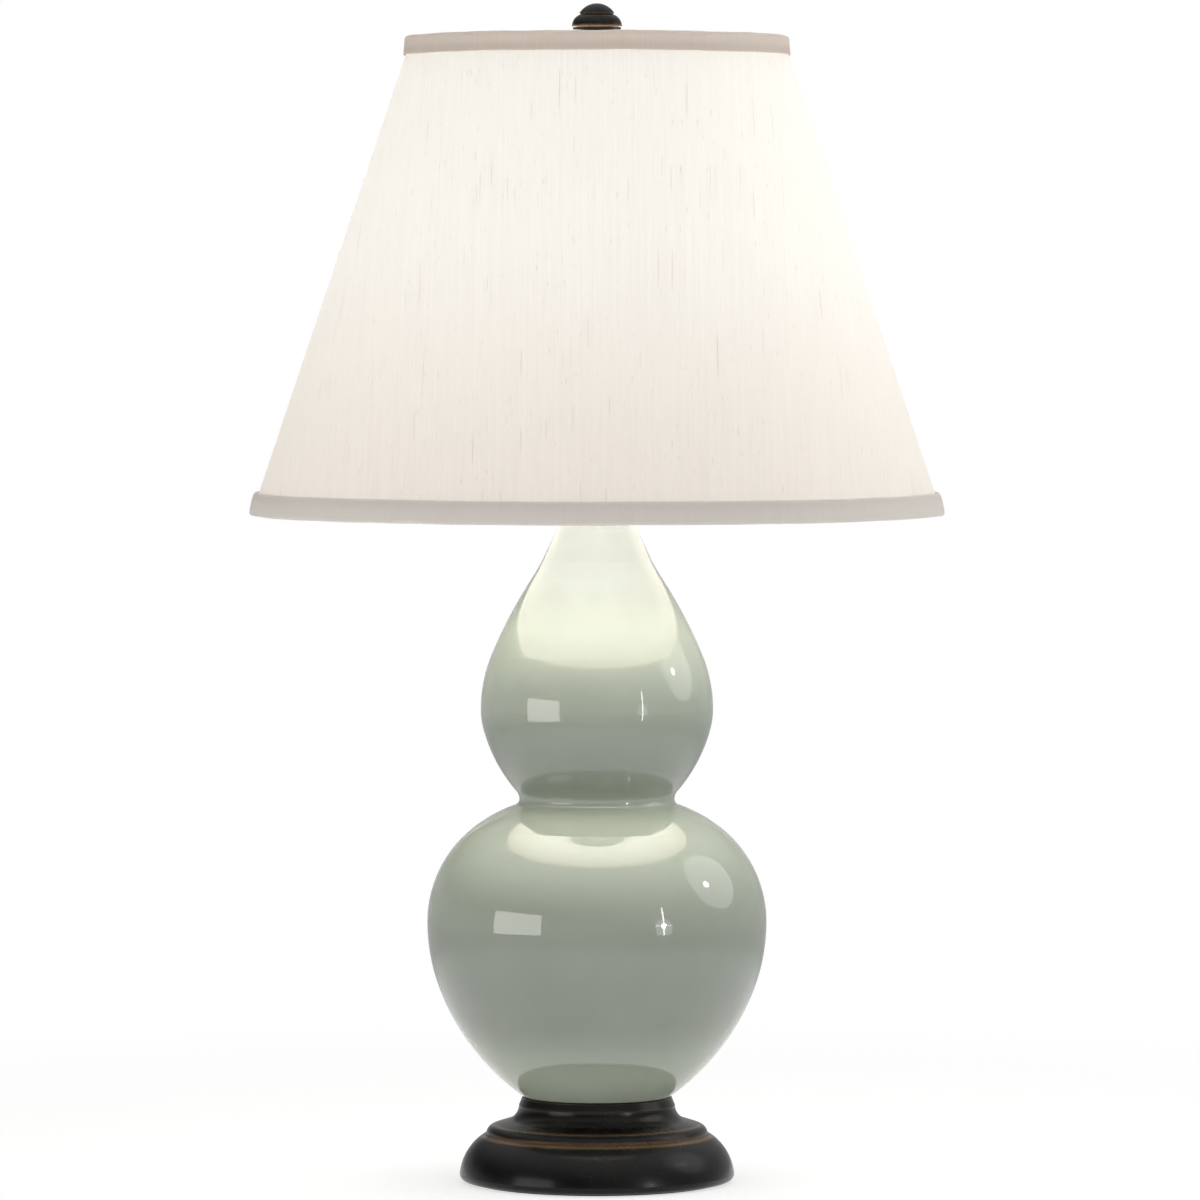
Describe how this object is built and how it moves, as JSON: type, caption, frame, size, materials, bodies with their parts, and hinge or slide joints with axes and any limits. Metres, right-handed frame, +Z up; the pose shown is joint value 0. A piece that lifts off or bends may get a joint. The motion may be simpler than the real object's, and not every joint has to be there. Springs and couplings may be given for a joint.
{
  "type": "double gourd table lamp",
  "caption": "Table lamp with a glazed ceramic double gourd body on a bronze base, a harp with a screw finial and a fabric cone shade round one bulb.",
  "frame": {"origin": "on the table under the lamp's axis, at the underside of the felt", "axes": "+Z up along the lamp's axis, -Y the front with the switch key, +Y the back with the cord inlet, the harp's loop in the XZ plane"},
  "size_m": [0.3407, 0.3408, 0.578],
  "materials": {
    "felt": "matt",
    "bronze_paint": "satin",
    "black_plastic": "matt",
    "zinc_steel": "satin",
    "rubber": "matt",
    "celadon_glaze": "gloss",
    "aged_brass": "satin",
    "pressed_paper": "matt",
    "phenolic": "matt",
    "cap_aluminium": "satin",
    "frosted_glass": "frosted",
    "clear_glass": "gloss",
    "black_glass": "gloss",
    "tungsten": "satin",
    "white_wire": "satin",
    "shade_liner": "satin",
    "shade_silk": "matt",
    "shade_tape": "matt"
  },
  "bodies": {
    "stand": {"base_felt": "felt", "base": "bronze_paint", "cord_bushing": "black_plastic", "base_washer": "zinc_steel", "base_nut": "zinc_steel", "lamp_pipe": "zinc_steel", "gourd_seat_washer": "rubber", "gourd_body": "celadon_glaze", "vase_cap": "bronze_paint", "neck_spool": "bronze_paint", "check_ring": "aged_brass", "harp_saddle": "aged_brass", "harp_foot_right": "aged_brass", "harp_foot_left": "aged_brass", "harp_leg_right": "aged_brass", "harp_leg_left": "aged_brass", "harp_crown": "aged_brass", "socket_cap": "aged_brass", "socket_set_screw": "zinc_steel", "socket_shell": "aged_brass", "socket_liner": "pressed_paper", "socket_body": "phenolic", "socket_terminal_screws": "aged_brass", "socket_thread_shell": "cap_aluminium", "socket_contact": "aged_brass"},
    "switch": {"switch_shaft": "zinc_steel", "switch_key": "black_plastic"},
    "ferrule_right": {"harp_ferrule_right": "aged_brass"},
    "ferrule_left": {"harp_ferrule_left": "aged_brass"},
    "bulb_tip": {"bulb_contact": "cap_aluminium"},
    "bulb": {"bulb_insulator": "black_glass", "bulb_cap": "cap_aluminium", "bulb_glass": "frosted_glass", "bulb_stem": "clear_glass", "bulb_filament": "tungsten"},
    "stud": {"harp_stud": "aged_brass"},
    "shade": {"shade_spider_frame": "white_wire", "shade_bottom_ring": "white_wire", "shade_liner": "shade_liner", "shade_fabric": "shade_silk", "shade_top_tape": "shade_tape", "shade_bottom_tape": "shade_tape"},
    "finial_screw": {"finial_insert": "aged_brass"},
    "finial": {"finial_knob": "bronze_paint"}
  },
  "joints": [
    {"name": "switch_turn", "type": "hinge", "parent": "stand", "child": "switch", "pos_m": [0, -0.0163, 0.3805], "axis": [0, -1, 0], "continuous": true},
    {"name": "ferrule_right_slide", "type": "slide", "parent": "stand", "child": "ferrule_right", "axis": [0, 0, 1], "range_m": [0, 0.012]},
    {"name": "ferrule_left_slide", "type": "slide", "parent": "stand", "child": "ferrule_left", "axis": [0, 0, 1], "range_m": [0, 0.012]},
    {"name": "bulb_rise", "type": "slide", "parent": "stand", "child": "bulb_tip", "axis": [0, 0, 1], "range_m": [0, 0.0155]},
    {"name": "bulb_turn", "type": "hinge", "parent": "bulb_tip", "child": "bulb", "pos_m": [0, 0, 0.39515], "axis": [0, 0, 1], "range_deg": [0, 1530]},
    {"name": "harp_swivel", "type": "hinge", "parent": "stand", "child": "stud", "pos_m": [0, 0, 0.54605], "axis": [0, 0, 1], "continuous": true},
    {"name": "shade_lift", "type": "slide", "parent": "stud", "child": "shade", "axis": [0, 0, 1], "range_m": [0, 0.24]},
    {"name": "finial_rise", "type": "slide", "parent": "shade", "child": "finial_screw", "axis": [0, 0, 1], "range_m": [0, 0.0081]},
    {"name": "finial_turn", "type": "hinge", "parent": "finial_screw", "child": "finial", "pos_m": [0, 0, 0.5558], "axis": [0, 0, 1], "range_deg": [0, 3060]}
  ],
  "couplings": [
    {"joint": "bulb_rise", "follows": "bulb_turn", "m_per_rad": 0.0005775},
    {"joint": "finial_rise", "follows": "finial_turn", "m_per_rad": 0.00014972}
  ]
}
